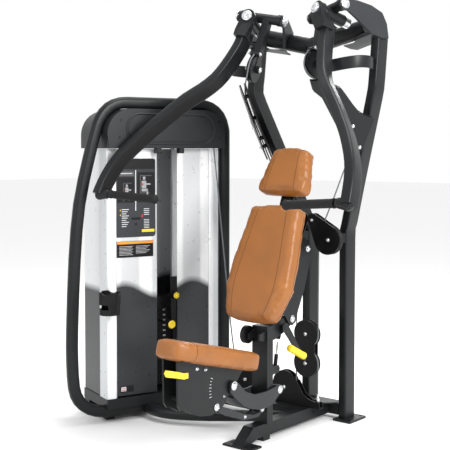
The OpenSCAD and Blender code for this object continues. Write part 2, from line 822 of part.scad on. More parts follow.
// Solid with the shroud's front outline, drawn in by inset, from depth y0 to y1
module shroud_block(y0, y1, inset) {
    r = 110 - inset;
    low = panel_top + 2 + inset;
    corner_z = shroud_top - 52 - 110;
    translate([0, y1, 0]) rotate([90, 0, 0]) linear_extrude(y1 - y0) intersection() {
        union() {
            for (x = [shroud_left + 110, shroud_right - 110]) translate([x, corner_z]) circle(r = r, $fn = 96);
            translate([shroud_left + 110, low]) square([shroud_right - shroud_left - 220, corner_z + r - low]);
            translate([shroud_left + inset, low])
                square([shroud_right - shroud_left - 2 * inset, corner_z - low]);
        }
        translate([shroud_left, low]) square([shroud_right - shroud_left, corner_z + 110 - low]);
    }
}

module loop_tube() {
    color("#26282a") tower_frame() sweep(smooth(LOOP_PATH, 2), round_rect(50, 42, 14, 2), [0, 1, 0]);
}

module cup_holder() {
    color("#1c1d1e") tower_frame() translate([-10, -50, 474]) {
        difference() {
            cylinder(r = 43, h = 24);
            translate([0, 0, 6]) cylinder(r = 39, h = 20);
        }
        difference() {
            translate([0, 0, 44]) cylinder(r = 46, h = 52);
            translate([0, 0, 43]) cylinder(r = 39, h = 54);
            for (t = [45 : 90 : 315]) rotate([0, 0, t]) translate([24, 0, 112]) rotate([0, 90, 0])
                cylinder(r = 26, h = 40);
        }
        translate([0, 0, 12]) linear_extrude(44) difference() {
            circle(r = 42.4);
            circle(r = 39.6);
            translate([-70, -50]) square([50, 100]);
        }
        translate([14, 37, 12]) cube([36, 12.6, 56]);
    }
}

module placard() {
    color("#2c2f31") tower_frame() translate([0, 7.6, 0]) rotate([90, 0, 0]) linear_extrude(3) {
        hull() for (x = [56, 219], z = [801, 1110]) translate([x, z]) circle(r = 13);
        translate([50, 702]) square([171, 69]);
    }
}

module guide_rods() {
    color("#d0d4d8") tower_frame() for (s = [-1, 1])
        translate([stack_x + s * rod_x, stack_y, panel_base + 0.2]) cylinder(r = rod_r, h = 1090);
}

module stack_block(z, h) {
    difference() {
        translate([stack_x - plate_w / 2, stack_y - plate_d / 2, z]) cube([plate_w, plate_d, h]);
        for (s = [-1, 1]) translate([stack_x + s * rod_x, stack_y, z - 1]) cylinder(r = rod_r + 1, h = h + 2);
        translate([stack_x, stack_y, z - 1]) cylinder(r = 13, h = h + 2);
    }
}

module resting_plates() {
    color("#1c1d1e") tower_frame() for (i = [0 : plate_count - lifted_count - 1])
        stack_block(stack_z + i * plate_pitch, plate_t);
}

pin_z = stack_z + (plate_count - lifted_count) * plate_pitch + plate_t / 2;

module lifted_plates() {
    head_z = stack_z + plate_count * plate_pitch;
    color("#1c1d1e") tower_frame() difference() {
        union() {
            for (i = [plate_count - lifted_count : plate_count - 1]) stack_block(stack_z + i * plate_pitch, plate_t);
            stack_block(head_z, 46);
            translate([stack_x, stack_y, pin_z - 40]) cylinder(r = 12, h = head_z + 46 - pin_z + 40);
            translate([stack_x, stack_y, head_z + 40]) cylinder(r = 16, h = head_h - 42);
        }
        translate([stack_x, stack_y - plate_d / 2 - 10, pin_z]) rotate([-90, 0, 0]) cylinder(r = pin_r + run, h = plate_d);
    }
}

module selector_pin() {
    color("#e2c93c") tower_frame() translate([stack_x, 0, pin_z]) rotate([90, 0, 0]) {
        translate([0, 0, -stack_y - 8]) cylinder(r = pin_r, h = stack_y + 8);
        cylinder(r = 15, h = 22);
        translate([0, 0, 22]) cylinder(r = 19, h = 16);
    }
}

module increment_knob() {
    color("#e2c93c") tower_frame() translate([322, 6, 526]) rotate([90, 0, 0]) {
        translate([0, 0, -40]) cylinder(r = 6, h = 40);
        cylinder(r = 17, h = 26);
    }
}

spine();
rear_crossmember();
foot_plates();
base_link();
upright_left();
upright_right();
top_boom();
cowl_left();
cowl_right();
press_pins();
stop_hoops();
cable_guides();
press_rocker_left();
press_rocker_right();
swing_shaft_left();
swing_shaft_right();
press_arm_left();
press_arm_right();
hand_grip_left();
hand_grip_right();
pulley_guards();
arm_pulley_left();
arm_pulley_right();
floor_guard();
floor_pulley_inner();
floor_pulley_outer();
tower_pulley_inner();
tower_pulley_outer();
float_covers();
float_wheel_upper();
float_wheel_lower();
arm_cable();
stack_cable();
seat_post();
seat_upper_link();
seat_lower_link();
seat_carriage();
seat_cushion();
seat_lever();
pad_frame();
back_cushion();
headrest_cushion();
range_lever();
gas_spring_tube();
gas_spring_rod();
tower_base();
tower_columns();
front_panels();
rear_cover();
top_shroud();
loop_tube();
cup_holder();
placard();
guide_rods();
resting_plates();
lifted_plates();
selector_pin();
increment_knob();
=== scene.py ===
"""Chest press machine: looks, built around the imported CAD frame. Metres, the CAD's own frame."""
import json
import math

import bmesh
import bpy
from mathutils import Matrix, Vector
from mathutils.bvhtree import BVHTree


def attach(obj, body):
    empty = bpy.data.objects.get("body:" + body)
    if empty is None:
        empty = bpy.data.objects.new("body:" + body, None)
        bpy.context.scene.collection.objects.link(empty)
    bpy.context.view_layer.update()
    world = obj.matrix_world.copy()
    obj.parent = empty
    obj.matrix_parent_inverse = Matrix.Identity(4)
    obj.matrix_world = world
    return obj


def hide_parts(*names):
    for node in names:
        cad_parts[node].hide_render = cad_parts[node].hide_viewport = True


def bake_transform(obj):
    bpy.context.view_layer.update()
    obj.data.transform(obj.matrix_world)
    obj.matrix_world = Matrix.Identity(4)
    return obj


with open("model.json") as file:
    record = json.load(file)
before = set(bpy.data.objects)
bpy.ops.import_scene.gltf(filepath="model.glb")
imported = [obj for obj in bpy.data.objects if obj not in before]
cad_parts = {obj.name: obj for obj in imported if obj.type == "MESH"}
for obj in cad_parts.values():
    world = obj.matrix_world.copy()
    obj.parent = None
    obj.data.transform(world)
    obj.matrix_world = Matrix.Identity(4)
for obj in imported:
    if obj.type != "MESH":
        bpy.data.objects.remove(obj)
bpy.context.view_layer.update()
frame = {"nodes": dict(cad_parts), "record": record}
NODES = frame["nodes"]
MM = 0.001
TOWER_AT = (-0.633, -0.250, 0.0)  # foot of the tower, metres
TOWER_TURN = 70.0  # degrees about the vertical
STACK_XY = (-0.628, 0.057)  # where the stack cable drops, metres
M = {}  # material by look
FRAME = "machine_frame"


def mm(*p):
    """A point given in millimetres."""
    return Vector(p) * MM


# ------------------------------------------------------------------ camera, light and floor
def camera():
    data = bpy.data.cameras.new("camera")
    data.lens = 77.5
    data.sensor_width = 36
    data.shift_x = 0.040
    data.shift_y = -0.0584
    obj = bpy.data.objects.new("camera", data)
    obj.location = (2.318, -3.066, 1.150)
    obj.rotation_euler = (math.radians(87.25), 0, math.radians(40.4))
    bpy.context.scene.collection.objects.link(obj)
    bpy.context.scene.camera = obj


def area_light(name, at, target, size, power, tint=(1, 1, 1)):
    data = bpy.data.lights.new(name, "AREA")
    data.shape = "DISK"
    data.size = size
    data.energy = power
    data.color = tint
    obj = bpy.data.objects.new(name, data)
    obj.location = at
    obj.rotation_euler = (Vector(target) - Vector(at)).to_track_quat("-Z", "Y").to_euler()
    bpy.context.scene.collection.objects.link(obj)


def studio():
    area_light("key", (3.8, -0.6, 2.6), (0, 0, 0.8), 1.6, 190)
    area_light("fill", (-0.6, -4.6, 2.2), (-0.3, 0, 0.8), 2.0, 40)
    area_light("top", (0.2, 0.2, 4.2), (0, 0, 0), 2.2, 70)
    area_light("rear", (-1.6, 3.4, 2.8), (0, 0, 1.0), 2.0, 60)
    world = bpy.data.worlds.new("studio")
    bpy.context.scene.world = world
    world.use_nodes = True
    back = world.node_tree.nodes["Background"]
    back.inputs["Color"].default_value = (1, 1, 1, 1)
    back.inputs["Strength"].default_value = 1.0
    bpy.context.scene.view_settings.view_transform = "Standard"
    bpy.ops.mesh.primitive_plane_add(size=60, location=(0, 0, 0))
    floor = bpy.context.object
    floor.name = "floor"
    floor.data.materials.append(plain_material("floor_pale", (0.90, 0.90, 0.90), 0.7))


# ------------------------------------------------------------------ materials
def shader(name):
    mat = bpy.data.materials.new(name)
    mat.use_nodes = True
    tree = mat.node_tree
    return mat, tree, tree.nodes["Principled BSDF"]


def plain_material(name, colour, rough):
    mat, _, bsdf = shader(name)
    bsdf.inputs["Base Color"].default_value = (*colour, 1)
    bsdf.inputs["Roughness"].default_value = rough
    return mat


def noise(tree, scale, detail=3.0):
    """Noise over the object's own coordinates; returns the value socket."""
    coord = tree.nodes.new("ShaderNodeTexCoord")
    tex = tree.nodes.new("ShaderNodeTexNoise")
    tex.inputs["Scale"].default_value = scale
    tex.inputs["Detail"].default_value = detail
    tree.links.new(coord.outputs["Object"], tex.inputs["Vector"])
    return tex.outputs["Fac"]


def ramp(tree, value, stops):
    node = tree.nodes.new("ShaderNodeValToRGB")
    points = node.color_ramp.elements
    while len(points) < len(stops):
        points.new(0.5)
    for point, (at, colour) in zip(points, stops):
        point.position = at
        point.color = (*colour, 1)
    tree.links.new(value, node.inputs["Fac"])
    return node.outputs["Color"]


def to_range(tree, value, low, high):
    node = tree.nodes.new("ShaderNodeMapRange")
    node.inputs["To Min"].default_value = low
    node.inputs["To Max"].default_value = high
    tree.links.new(value, node.inputs["Value"])
    return node.outputs["Result"]


def bump(tree, bsdf, height, strength, depth, edge=0.0015):
    """Surface grain over softly rounded edges."""
    round_edge = tree.nodes.new("ShaderNodeBevel")
    round_edge.samples = 4
    round_edge.inputs["Radius"].default_value = edge
    node = tree.nodes.new("ShaderNodeBump")
    node.inputs["Strength"].default_value = strength
    node.inputs["Distance"].default_value = depth
    tree.links.new(height, node.inputs["Height"])
    tree.links.new(round_edge.outputs["Normal"], node.inputs["Normal"])
    tree.links.new(node.outputs["Normal"], bsdf.inputs["Normal"])


def scaled(colour, k):
    return tuple(min(1.0, c * k) for c in colour)


def coated(name, colour, rough, metallic=0.0, grain=900, strength=0.12, spread=0.12, edge=0.0015):
    """Powder coat, moulded plastic or plated metal: cloudy tone, uneven gloss and a fine grain."""
    mat, tree, bsdf = shader(name)
    cloud = noise(tree, 7.0)
    tone = ramp(tree, cloud, [(0.3, scaled(colour, 1 - spread)), (0.7, scaled(colour, 1 + spread))])
    tree.links.new(tone, bsdf.inputs["Base Color"])
    gloss = to_range(tree, noise(tree, 24.0), rough - 0.05, rough + 0.07)
    tree.links.new(gloss, bsdf.inputs["Roughness"])
    bsdf.inputs["Metallic"].default_value = metallic
    bsdf.inputs["Specular IOR Level"].default_value = 0.5 if metallic else 0.22
    bump(tree, bsdf, noise(tree, grain, 2.0), strength, 0.0004, edge)
    return mat


def leather(name, colour):
    """Smooth grained upholstery: pebbled cells, soft folds and a little sheen."""
    mat, tree, bsdf = shader(name)
    coord = tree.nodes.new("ShaderNodeTexCoord")
    cells = tree.nodes.new("ShaderNodeTexVoronoi")
    cells.inputs["Scale"].default_value = 620
    tree.links.new(coord.outputs["Object"], cells.inputs["Vector"])
    tone = ramp(tree, noise(tree, 9.0, 5.0), [(0.25, scaled(colour, 0.88)), (0.75, scaled(colour, 1.1))])
    tree.links.new(tone, bsdf.inputs["Base Color"])
    gloss = to_range(tree, noise(tree, 40.0), 0.36, 0.5)
    tree.links.new(gloss, bsdf.inputs["Roughness"])
    total = tree.nodes.new("ShaderNodeMath")
    total.operation = "ADD"
    tree.links.new(cells.outputs["Distance"], total.inputs[0])
    tree.links.new(noise(tree, 160.0, 4.0), total.inputs[1])
    bump(tree, bsdf, total.outputs["Value"], 0.18, 0.0006, 0.004)
    return mat


def tower_axis(tree):
    """Object coordinates turned so that X runs across the tower's front, from its left column."""
    coord = tree.nodes.new("ShaderNodeTexCoord")
    mapping = tree.nodes.new("ShaderNodeMapping")
    mapping.vector_type = "POINT"
    a = math.radians(-TOWER_TURN)
    tower = Vector(TOWER_AT)
    mapping.inputs["Rotation"].default_value = (0, 0, a)
    mapping.inputs["Location"].default_value = -(Matrix.Rotation(a, 3, "Z") @ tower)
    tree.links.new(coord.outputs["Object"], mapping.inputs["Vector"])
    split = tree.nodes.new("ShaderNodeSeparateXYZ")
    tree.links.new(mapping.outputs["Vector"], split.inputs["Vector"])
    return split.outputs


def math_node(tree, kind, a, b=None):
    node = tree.nodes.new("ShaderNodeMath")
    node.operation = kind
    for socket, value in zip(node.inputs, (a, b)):
        if value is None:
            continue
        if isinstance(value, (int, float)):
            socket.default_value = value
        else:
            tree.links.new(value, socket)
    return node.outputs["Value"]


def silver(name, dark_foot):
    """Silvery sheet with soft vertical bands of painted reflection; dark_foot adds a dark area with a wavy top towards
    the foot.
    """
    mat, tree, bsdf = shader(name)
    across, _, height = tower_axis(tree)
    # Painted reflection: light and dark vertical bands across the sheet, painted into its base colour.
    reflection_bands = math_node(tree, "SINE", math_node(tree, "MULTIPLY", across, 42.0))
    tone = ramp(tree, to_range(tree, reflection_bands, 0.4, 1.1), [(0.0, (0.40, 0.42, 0.43)), (0.45, (0.62, 0.64, 0.65)),
        (0.8, (0.84, 0.85, 0.86))])
    bsdf.inputs["Metallic"].default_value = 0.25
    colour = tone
    if dark_foot:
        # Darker area with a wavy top towards the foot of the sheet, mixed into the base colour.
        wave = math_node(tree, "MULTIPLY", math_node(tree, "SINE", math_node(tree, "MULTIPLY", across, 19.0)), 0.03)
        edge = math_node(tree, "SUBTRACT", height, math_node(tree, "ADD", wave, 0.562))
        fade = tree.nodes.new("ShaderNodeMapRange")
        fade.inputs["From Min"].default_value = -0.016
        fade.inputs["From Max"].default_value = 0.016
        tree.links.new(edge, fade.inputs["Value"])
        mix = tree.nodes.new("ShaderNodeMix")
        mix.data_type = "RGBA"
        tree.links.new(fade.outputs["Result"], mix.inputs[0])
        mix.inputs[6].default_value = (0.022, 0.024, 0.026, 1)
        tree.links.new(tone, mix.inputs[7])
        colour = mix.outputs[2]
    tree.links.new(colour, bsdf.inputs["Base Color"])
    gloss = to_range(tree, noise(tree, 30.0), 0.24, 0.34)
    tree.links.new(gloss, bsdf.inputs["Roughness"])
    bump(tree, bsdf, noise(tree, 900.0, 2.0), 0.02, 0.0001)
    return mat


def make_materials():
    M["frame"] = coated("powder_coat", (0.0085, 0.0092, 0.010), 0.36, grain=1300, strength=0.18)
    M["cowl"] = coated("powder_coat_grey", (0.024, 0.026, 0.028), 0.38, grain=1300, strength=0.16)
    M["zinc"] = coated("zinc_plate", (0.66, 0.67, 0.68), 0.24, metallic=0.95, grain=500, strength=0.04, spread=0.06)
    M["rubber"] = coated("grip_rubber", (0.009, 0.009, 0.010), 0.6, grain=700, strength=0.35)
    M["guard"] = coated("guard_plastic", (0.004, 0.004, 0.0045), 0.42, grain=1500, strength=0.22)
    M["nylon"] = coated("pulley_nylon", (0.018, 0.018, 0.019), 0.45, grain=800, strength=0.1)
    M["cable"] = coated("coated_cable", (0.13, 0.14, 0.145), 0.32, grain=1600, strength=0.3, edge=0.0002)
    M["yellow"] = coated("yellow_plastic", (0.80, 0.58, 0.035), 0.34, grain=900, strength=0.06, spread=0.05)
    M["shroud"] = coated("shroud_plastic", (0.017, 0.018, 0.020), 0.34, grain=1100, strength=0.14)
    M["placard"] = coated("placard_print", (0.034, 0.037, 0.041), 0.36, grain=600, strength=0.05)
    M["print_dark"] = coated("print_dark", (0.008, 0.008, 0.009), 0.3, grain=600, strength=0.05)
    M["print_light"] = coated("print_light", (0.62, 0.63, 0.64), 0.45, grain=600, strength=0.05)
    M["print_pale"] = coated("print_pale", (0.30, 0.31, 0.32), 0.45, grain=600, strength=0.05)
    M["print_grey"] = coated("print_grey", (0.085, 0.088, 0.092), 0.45, grain=600, strength=0.05)
    M["print_red"] = coated("print_red", (0.45, 0.03, 0.03), 0.45, grain=600, strength=0.05)
    M["print_orange"] = coated("print_orange", (0.80, 0.28, 0.03), 0.4, grain=600, strength=0.05)
    M["iron"] = coated("plate_iron", (0.010, 0.0105, 0.011), 0.48, grain=300, strength=0.4)
    M["rod"] = coated("polished_rod", (0.70, 0.71, 0.73), 0.14, metallic=1.0, grain=500, strength=0.03, spread=0.04)
    M["column"] = silver("column_silver", False)
    M["panel"] = silver("panel_silver", True)
    M["leather"] = leather("tan_upholstery", (0.25, 0.086, 0.0125))
    M["seam"] = coated("seam_thread", (0.11, 0.040, 0.009), 0.6, grain=1800, strength=0.5, edge=0.0002)


SLOT_LOOK = {"frame_black": "frame", "cowl_grey": "cowl", "zinc": "zinc", "grip_rubber": "rubber",
    "guard_black": "guard", "pulley_nylon": "nylon", "cable_steel": "cable", "upholstery": "leather",
    "yellow_plastic": "yellow", "spring_black": "guard", "chrome_rod": "rod", "column_aluminium": "column",
    "panel_silver": "panel", "shroud_black": "shroud", "holder_black": "guard", "placard_black": "placard",
    "plate_iron": "iron"}
NODE_SLOT = {s["node"]: s["material_slot"] for s in frame["record"]["subparts"]}


SWEPT = ("upright_left", "upright_right", "press_arm_left", "press_arm_right", "loop_tube", "base_link", "stop_hoops")


def dress_nodes():
    """Every CAD node gets the material of its slot, and smooth shading over its round faces."""
    for name, obj in NODES.items():
        mesh = obj.data
        mesh.materials.clear()
        mesh.materials.append(M[SLOT_LOOK[NODE_SLOT[name]]])
        if "custom_normal" in mesh.attributes:
            mesh.attributes.remove(mesh.attributes["custom_normal"])
        mesh.polygons.foreach_set("use_smooth", [True] * len(mesh.polygons))
        weld = obj.modifiers.new("weld", "WELD")
        weld.merge_threshold = 0.00004
        split = obj.modifiers.new("split", "EDGE_SPLIT")
        split.split_angle = math.radians(50 if name in SWEPT else 32)
        split.use_edge_sharp = False
        obj.modifiers.new("weigh", "WEIGHTED_NORMAL")


# ------------------------------------------------------------------ mesh helpers
def from_bmesh(name, bm, look, angle=35):
    bmesh.ops.recalc_face_normals(bm, faces=bm.faces)
    mesh = bpy.data.meshes.new(name)
    bm.to_mesh(mesh)
    bm.free()
    obj = bpy.data.objects.new(name, mesh)
    bpy.context.scene.collection.objects.link(obj)
    obj.data.materials.append(M[look])
    smooth_by_angle(obj, angle)
    return obj


def smooth_by_angle(obj, angle):
    mesh = obj.data
    mesh.polygons.foreach_set("use_smooth", [True] * len(mesh.polygons))
    bm = bmesh.new()
    bm.from_mesh(mesh)
    for edge in bm.edges:
        edge.smooth = len(edge.link_faces) == 2 and edge.calc_face_angle(0) < math.radians(angle)
    bm.to_mesh(mesh)
    bm.free()


def place(obj, slot, body, *nodes):
    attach(obj, body)
    if nodes:
        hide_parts(*nodes)
    return obj


def catmull(points, steps):
    out = []
    for i in range(len(points) - 1):
        a, b = points[max(i - 1, 0)], points[i]
        c, d = points[i + 1], points[min(i + 2, len(points) - 1)]
        for k in range(steps):
            t = k / steps
            out.append(0.5 * (2 * b + (c - a) * t + (2 * a - 5 * b + 4 * c - d) * t * t
                + (3 * b - a - 3 * c + d) * t ** 3))
    out.append(points[-1])
    return out


def tube_bm(bm, path, radius, sides=12):
    """A round tube swept along a path, with closed ends."""
    rings = []
    side = None
    for i, p in enumerate(path):
        t = (path[min(i + 1, len(path) - 1)] - path[max(i - 1, 0)]).normalized()
        if side is None:
            side = t.orthogonal().normalized()
        side = (side - t * side.dot(t)).normalized()
        up = t.cross(side)
        r = radius(i / (len(path) - 1)) if callable(radius) else radius
        rings.append([bm.verts.new(p + r * (math.cos(w) * side + math.sin(w) * up))
            for w in (2 * math.pi * k / sides for k in range(sides))])
    for a, b in zip(rings, rings[1:]):
        for k in range(sides):
            j = (k + 1) % sides
            bm.faces.new((a[k], a[j], b[j], b[k]))
    bm.faces.new(rings[0])
    bm.faces.new(rings[-1])


def tube(name, path, radius, look, sides=12):
    bm = bmesh.new()
    tube_bm(bm, path, radius, sides)
    return from_bmesh(name, bm, look, 60)


def lathe_bm(bm, at, axis, profile, sides=32):
    """Solid of revolution about axis through at; profile is (radius, distance along the axis)."""
    axis = Vector(axis).normalized()
    u = axis.orthogonal().normalized()
    v = axis.cross(u)
    rings = []
    for r, h in profile:
        centre = at + axis * h
        if r < 1e-6:
            rings.append([bm.verts.new(centre)])
        else:
            rings.append([bm.verts.new(centre + r * (math.cos(w) * u + math.sin(w) * v))
                for w in (2 * math.pi * k / sides for k in range(sides))])
    for a, b in zip(rings, rings[1:]):
        for k in range(sides):
            j = (k + 1) % sides
            if len(a) == 1 and len(b) == 1:
                continue
            if len(a) == 1:
                bm.faces.new((a[0], b[j], b[k]))
            elif len(b) == 1:
                bm.faces.new((a[k], a[j], b[0]))
            else:
                bm.faces.new((a[k], a[j], b[j], b[k]))


def bolt_bm(bm, at, axis, r):
    """Washer and domed socket head."""
    washer = [(0, 0), (r * 0.96, 0), (r, 0.0006), (r, 0.0022), (r * 0.94, 0.0028), (r * 0.74, 0.0028)]
    head = [(r * 0.74, 0.0032), (r * 0.72, 0.0052), (r * 0.6, 0.0072), (r * 0.4, 0.0082), (r * 0.3, 0.0082),
        (r * 0.27, 0.0050), (0, 0.0046)]
    lathe_bm(bm, at, axis, washer + head, 28)


def bolts(name, body, places):
    bm = bmesh.new()
    for at, axis, r in places:
        bolt_bm(bm, at, axis, r * MM)
    return place(from_bmesh(name, bm, "zinc", 40), "zinc", body)


def box_bm(bm, low, high, turn=None, bevel=0.0):
    """Box between two corners, moved by the matrix turn when one is given."""
    made = bmesh.ops.create_cube(bm, size=1)["verts"]
    size = Vector(high) - Vector(low)
    mid = (Vector(high) + Vector(low)) / 2
    for vert in made:
        vert.co = Vector((vert.co.x * size.x, vert.co.y * size.y, vert.co.z * size.z)) + mid
    if bevel:
        edges = list({e for vert in made for e in vert.link_edges})
        made = bmesh.ops.bevel(bm, geom=edges, offset=bevel, segments=2, affect="EDGES")["verts"]
    if turn:
        for vert in made:
            vert.co = turn @ vert.co


TOWER = Matrix.Translation(TOWER_AT) @ Matrix.Rotation(math.radians(TOWER_TURN), 4, "Z")


def tower_box(bm, a0, a1, d0, d1, z0, z1, bevel=0.0):
    """Box in the tower's own frame: a across the front, d depth behind it, z up, in millimetres."""
    box_bm(bm, mm(a0, d0, z0), mm(a1, d1, z1), TOWER, bevel)


def tower_point(a, d, z):
    return TOWER @ mm(a, d, z)


# ------------------------------------------------------------------ cushions
def frame_matrix(at, tilt):
    return Matrix.Translation(mm(*at)) @ Matrix.Rotation(math.radians(-tilt), 4, "X")


SEAT = frame_matrix((0, -150, 315), 14)
BACK = frame_matrix((0, -42, 478), 23)
HEAD = frame_matrix((0, 166, 965), 25)


def half_width(profile, s):
    """Half width at s along the cushion, straight between the profile's points."""
    for (s0, w0), (s1, w1) in zip(profile, profile[1:]):
        if s <= s1:
            return w0 + (w1 - w0) * max(0.0, (s - s0) / (s1 - s0))
    return profile[-1][1]


def cushion_block(profile, length, thick, end_low, end_high, matrix, place_point, rows=44, cols=20, layers=6):
    """Closed block with a curved outline. end_low and end_high bow the two ends out by that much in mm."""
    bm = bmesh.new()
    grid = {}
    for i in range(rows + 1):
        s = length * i / rows
        for j in range(cols + 1):
            q = 2 * j / cols - 1
            bow = (1 - q * q)
            along = s - end_low * bow * (1 - i / rows) ** 3 + end_high * bow * (i / rows) ** 3
            for k in range(layers + 1):
                if 0 < i < rows and 0 < j < cols and 0 < k < layers:
                    continue
                w = half_width(profile, s)
                grid[i, j, k] = bm.verts.new(matrix @ (place_point(q * w, along, thick * k / layers) * MM))

    def quad(*keys):
        bm.faces.new([grid[key] for key in keys])

    for i in range(rows):
        for j in range(cols):
            for k in (0, layers):
                quad((i, j, k), (i + 1, j, k), (i + 1, j + 1, k), (i, j + 1, k))
    for i in range(rows):
        for k in range(layers):
            for j in (0, cols):
                quad((i, j, k), (i + 1, j, k), (i + 1, j, k + 1), (i, j, k + 1))
    for j in range(cols):
        for k in range(layers):
            for i in (0, rows):
                quad((i, j, k), (i, j + 1, k), (i, j + 1, k + 1), (i, j, k + 1))
    return bm


def inflate(obj, pressure, cap, voxel):
    """Puffs the cushion up under its cover, with no point moving further than cap."""
    remesh = obj.modifiers.new("remesh", "REMESH")
    remesh.mode = "VOXEL"
    remesh.voxel_size = voxel
    soften = obj.modifiers.new("soften", "SMOOTH")
    soften.factor = 0.5
    soften.iterations = 9
    apply_all(obj)
    before = [v.co.copy() for v in obj.data.vertices]
    cloth = obj.modifiers.new("cloth", "CLOTH")
    cloth.settings.quality = 5
    cloth.settings.mass = 0.3
    cloth.settings.use_pressure = True
    cloth.settings.uniform_pressure_force = pressure
    cloth.settings.effector_weights.gravity = 0
    cloth.settings.tension_stiffness = 40
    cloth.settings.compression_stiffness = 40
    cloth.settings.bending_stiffness = 6
    cloth.collision_settings.use_collision = False
    scene = bpy.context.scene
    for f in range(1, 16):
        scene.frame_set(f)
    apply_all(obj)
    for vert, start in zip(obj.data.vertices, before):
        move = vert.co - start
        if move.length > cap:
            vert.co = start + move.normalized() * cap
    scene.frame_set(1)
    relax = obj.modifiers.new("relax", "SMOOTH")
    relax.factor = 0.5
    relax.iterations = 3
    sub = obj.modifiers.new("subdivide", "SUBSURF")
    sub.levels = 1
    sub.render_levels = 1
    apply_all(obj)
    obj.data.polygons.foreach_set("use_smooth", [True] * len(obj.data.polygons))


def apply_all(obj):
    graph = bpy.context.evaluated_depsgraph_get()
    mesh = bpy.data.meshes.new_from_object(obj.evaluated_get(graph), depsgraph=graph)
    obj.modifiers.clear()
    old = obj.data
    obj.data = mesh
    bpy.data.meshes.remove(old)


def seam(name, cushion, matrix, points, direction, body):
    """Seam line: a fine welt laid on the cushion along points, found by casting onto its surface."""
    tree = BVHTree.FromObject(cushion, bpy.context.evaluated_depsgraph_get())
    way = (matrix.to_3x3() @ Vector(direction)).normalized()
    path = []
    for p in catmull([Vector(q) for q in points], 8):
        start = matrix @ (p * MM) - way * 0.2
        hit, normal, _, _ = tree.ray_cast(start, way)
        if hit:
            path.append(hit + normal * 0.0001)
    obj = tube(name, path, 0.0009, "seam", 6)
    return place(obj, "upholstery", body)


def build_cushions():
    seat_profile = [(0, 94), (30, 112), (120, 112), (330, 84), (400, 72), (438, 52)]
    bm = cushion_block(seat_profile, 438, 62, 2, 6, SEAT, lambda w, s, t: Vector((w, -s, t + 1)))
    seat = from_bmesh("seat_cushion_cover", bm, "leather", 180)
    inflate(seat, 3.0, 0.006, 0.007)
    place(seat, "upholstery", "seat_carriage", "seat_cushion")
    seam("seat_nose_seam", seat, SEAT, [(-100, -352, 0), (-50, -362, 0), (0, -365, 0), (50, -362, 0), (100, -352, 0)],
        (0, 0, -1), "seat_carriage")

    for side in (-1, 1):
        name = "left" if side > 0 else "right"
        down = [(side * 100, -352, 64), (side * 104, -354, 44), (side * 104, -356, 22), (side * 102, -358, 4)]
        seam("seat_nose_side_" + name, seat, SEAT, down, (-side, 0, 0), "seat_carriage")

    back_profile = [(0, 112), (30, 128), (125, 158), (250, 152), (350, 138), (440, 126), (474, 118)]
    bm = cushion_block(back_profile, 470, 66, 14, 10, BACK, lambda w, s, t: Vector((w, -2 - t, s)))
    back = from_bmesh("back_cushion_cover", bm, "leather", 180)
    inflate(back, 4.0, 0.008, 0.0075)
    place(back, "upholstery", "back_rest", "back_cushion")
    for side in (-1, 1):
        points = [(side * 76, 0, 8), (side * 98, 0, 120), (side * 92, 0, 250), (side * 80, 0, 360), (side * 70, 0, 468)]
        seam("back_seam_" + ("left" if side > 0 else "right"), back, BACK, points, (0, 1, 0), "back_rest")

    for side in (-1, 1):
        name = "left" if side > 0 else "right"
        points = [(side * 200, -24, z) for z in (14, 120, 240, 350, 440)]
        seam("back_side_seam_" + name, back, BACK, points, (-side, 0, 0), "back_rest")

    head_profile = [(0, 110), (30, 117), (100, 104), (160, 90), (196, 82)]
    bm = cushion_block(head_profile, 186, 66, 2, 12, HEAD, lambda w, s, t: Vector((w, -2 - t, s)), rows=24)
    head = from_bmesh("headrest_cover", bm, "leather", 180)
    inflate(head, 4.0, 0.007, 0.007)
    place(head, "upholstery", "back_rest", "headrest_cushion")
    for side in (-1, 1):
        points = [(side * 72, 0, 4), (side * 66, 0, 60), (side * 60, 0, 120), (side * 54, 0, 184)]
        seam("headrest_seam_" + ("left" if side > 0 else "right"), head, HEAD, points, (0, 1, 0), "back_rest")


# ------------------------------------------------------------------ cables
WHEEL_R = 55
PULLEY_Y = 314
CABLE_R = 0.003


def arc(cx, cz, start, end, steps, y=PULLEY_Y, r=WHEEL_R):
    out = []
    for k in range(steps + 1):
        w = math.radians(start + (end - start) * k / steps)
        out.append(mm(cx + r * math.cos(w), y, cz + r * math.sin(w)))
    return out


def line(a, b, steps):
    return [a + (b - a) * k / steps for k in range(steps + 1)]


def cable_piece(name, path, body, *nodes):
    return place(tube(name, path, CABLE_R, "cable", 12), "cable_steel", body, *nodes)


def cable_span(name, path):
    """Span between two bodies: path runs from the still end to the moving one."""
    obj = tube(name, path, CABLE_R, "cable", 12)
    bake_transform(obj)
    return obj


def flip(p, side):
    return Vector((p.x * side, p.y, p.z))


GUIDE_ROUTE = [mm(*p) for p in ((62, 314, 809), (82, 313, 858), (130, 312, 962), (173, 311, 1062), (203, 310, 1128),
    (217, 309, 1158), (236, 297, 1213), (250, 272, 1278), (247, 234, 1333), (234, 195, 1370), (210, 152, 1398))]
CAM_SPAN = [mm(*p) for p in ((210, 152, 1398), (178, 112, 1430), (152, 88, 1458), (139, 80, 1490))]
CAM_WRAP = [mm(*p) for p in ((139, 80, 1490), (136, 92, 1526), (137, 118, 1552))]


